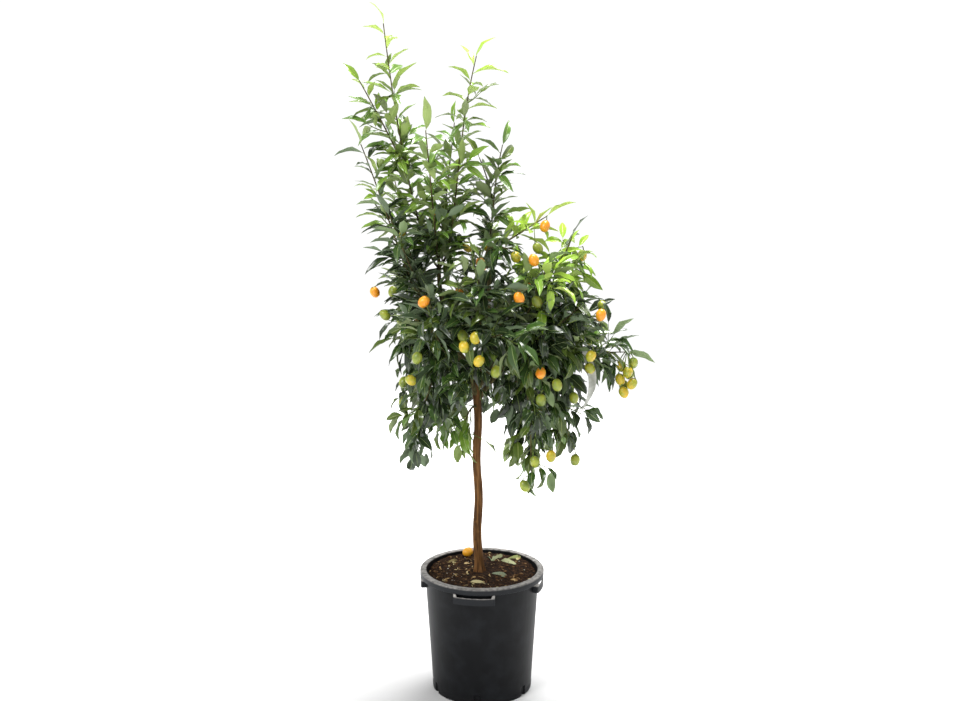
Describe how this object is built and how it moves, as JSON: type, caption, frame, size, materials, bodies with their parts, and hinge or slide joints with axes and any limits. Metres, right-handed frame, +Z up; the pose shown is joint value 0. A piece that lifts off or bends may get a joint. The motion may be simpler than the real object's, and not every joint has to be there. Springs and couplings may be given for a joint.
{
  "type": "potted kumquat tree",
  "caption": "Young kumquat tree with fruit on a single slim trunk, in a black plastic nursery pot: a leafy round crown with tall upright shoots and hanging branchlets.",
  "frame": {"origin": "centre of the pot's flat underside", "axes": "+Z up the trunk, +X to the right in the front view, +Y away from the viewer in the front view"},
  "size_m": [0.7264, 0.6251, 1.6335],
  "materials": {
    "pot_plastic": "semi-matt black plastic with a worn lighter rim",
    "potting_mix": "loose dark potting mix",
    "bark": "thin brown bark",
    "foliage": "glossy green leaves on thin green twigs, with orange and yellow fruit",
    "label_film": "pale blank strip"
  },
  "bodies": {
    "root": {"bough_back": "bark", "bough_back_left": "bark", "bough_back_right": "bark", "bough_climbing_left": "bark", "bough_climbing_right": "bark", "bough_front": "bark", "bough_front_left": "bark", "bough_front_right": "bark", "bough_leader": "bark", "bough_left": "bark", "bough_right": "bark", "fruiting_right": "foliage", "handle_back": "pot_plastic", "handle_front": "pot_plastic", "handle_left": "pot_plastic", "handle_right": "pot_plastic", "hanger": "foliage", "label": "label_film", "lower_back": "foliage", "lower_back_left": "foliage", "lower_back_right": "foliage", "lower_front": "foliage", "lower_front_left": "foliage", "lower_front_right": "foliage", "lower_left": "foliage", "lower_right": "foliage", "middle_back": "foliage", "middle_back_left": "foliage", "middle_back_right": "foliage", "middle_front": "foliage", "middle_front_left": "foliage", "middle_front_right": "foliage", "middle_left": "foliage", "middle_right": "foliage", "pot": "pot_plastic", "pot_rim": "pot_plastic", "shoot_centre": "foliage", "shoot_inner_right": "foliage", "shoot_near_left": "foliage", "shoot_near_right": "foliage", "shoot_outer_left": "foliage", "shoot_rear": "foliage", "shoot_rear_left": "foliage", "shoot_tall_left": "foliage", "shoot_tall_right": "foliage", "shoot_upper_right": "foliage", "soil": "potting_mix", "trunk": "bark", "upper_back": "foliage", "upper_front": "foliage", "upper_front_right": "foliage", "upper_right": "foliage"}
  },
  "joints": []
}
